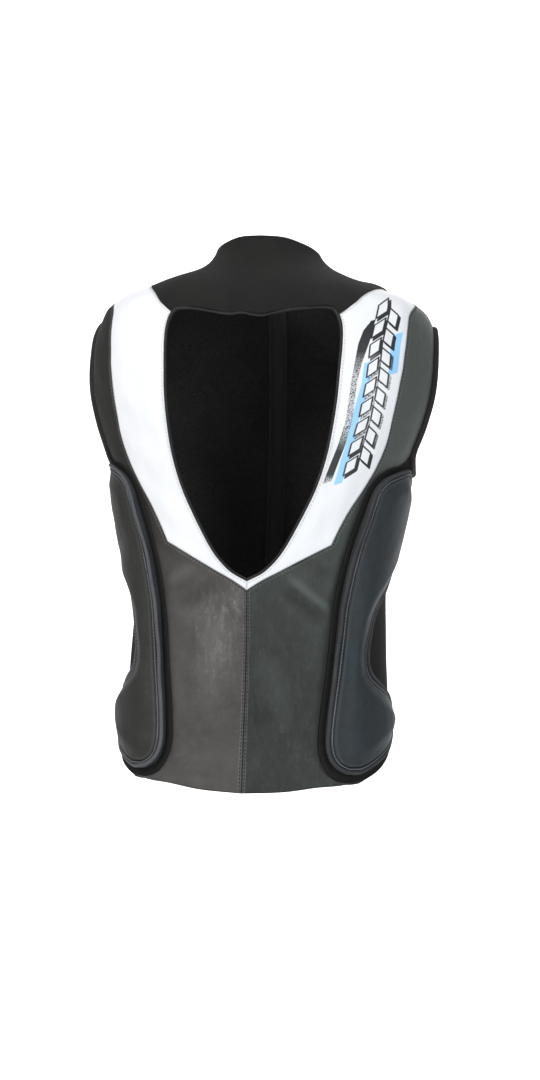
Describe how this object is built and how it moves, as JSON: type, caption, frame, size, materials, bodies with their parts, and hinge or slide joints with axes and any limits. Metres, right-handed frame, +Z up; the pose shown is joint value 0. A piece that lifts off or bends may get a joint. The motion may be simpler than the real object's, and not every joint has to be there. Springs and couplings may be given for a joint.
{
  "type": "racing airbag vest",
  "caption": "Worn leather racing vest: stand collar and yoke, white shoulder panels over a teardrop back cut-out, raised boot-shaped airbag covers at the sides, front fastening.",
  "frame": {"origin": "midway between the wearer's shoulders, at the height where the vest hangs on them", "axes": "+Z up, +Y towards the wearer's front, +X towards the wearer's right side"},
  "size_m": [0.4154, 0.2598, 0.6524],
  "materials": {
    "neoprene": "matt stretch neoprene",
    "white_leather": "smooth semi-matt white leather",
    "black_leather": "grained black leather, lightly scuffed",
    "stretch_fabric": "matt black knit",
    "pad_cover": "black leather over an airbag cover",
    "piping": "black corded piping",
    "edge_binding": "dark ribbed edge binding",
    "zip": "black zip tape and closed teeth"
  },
  "bodies": {
    "root": {"collar_yoke": "neoprene", "white_panel_right": "white_leather", "white_panel_left": "white_leather", "back_panel_right": "black_leather", "back_panel_left": "black_leather", "side_panel_right": "stretch_fabric", "side_panel_left": "stretch_fabric", "front_panel_right": "black_leather", "front_panel_left": "black_leather", "front_zip": "zip", "side_pad_right": "pad_cover", "side_pad_left": "pad_cover", "pad_piping_right": "piping", "pad_piping_left": "piping", "armhole_edge_right": "edge_binding", "armhole_edge_left": "edge_binding", "opening_piping": "piping"}
  },
  "joints": []
}
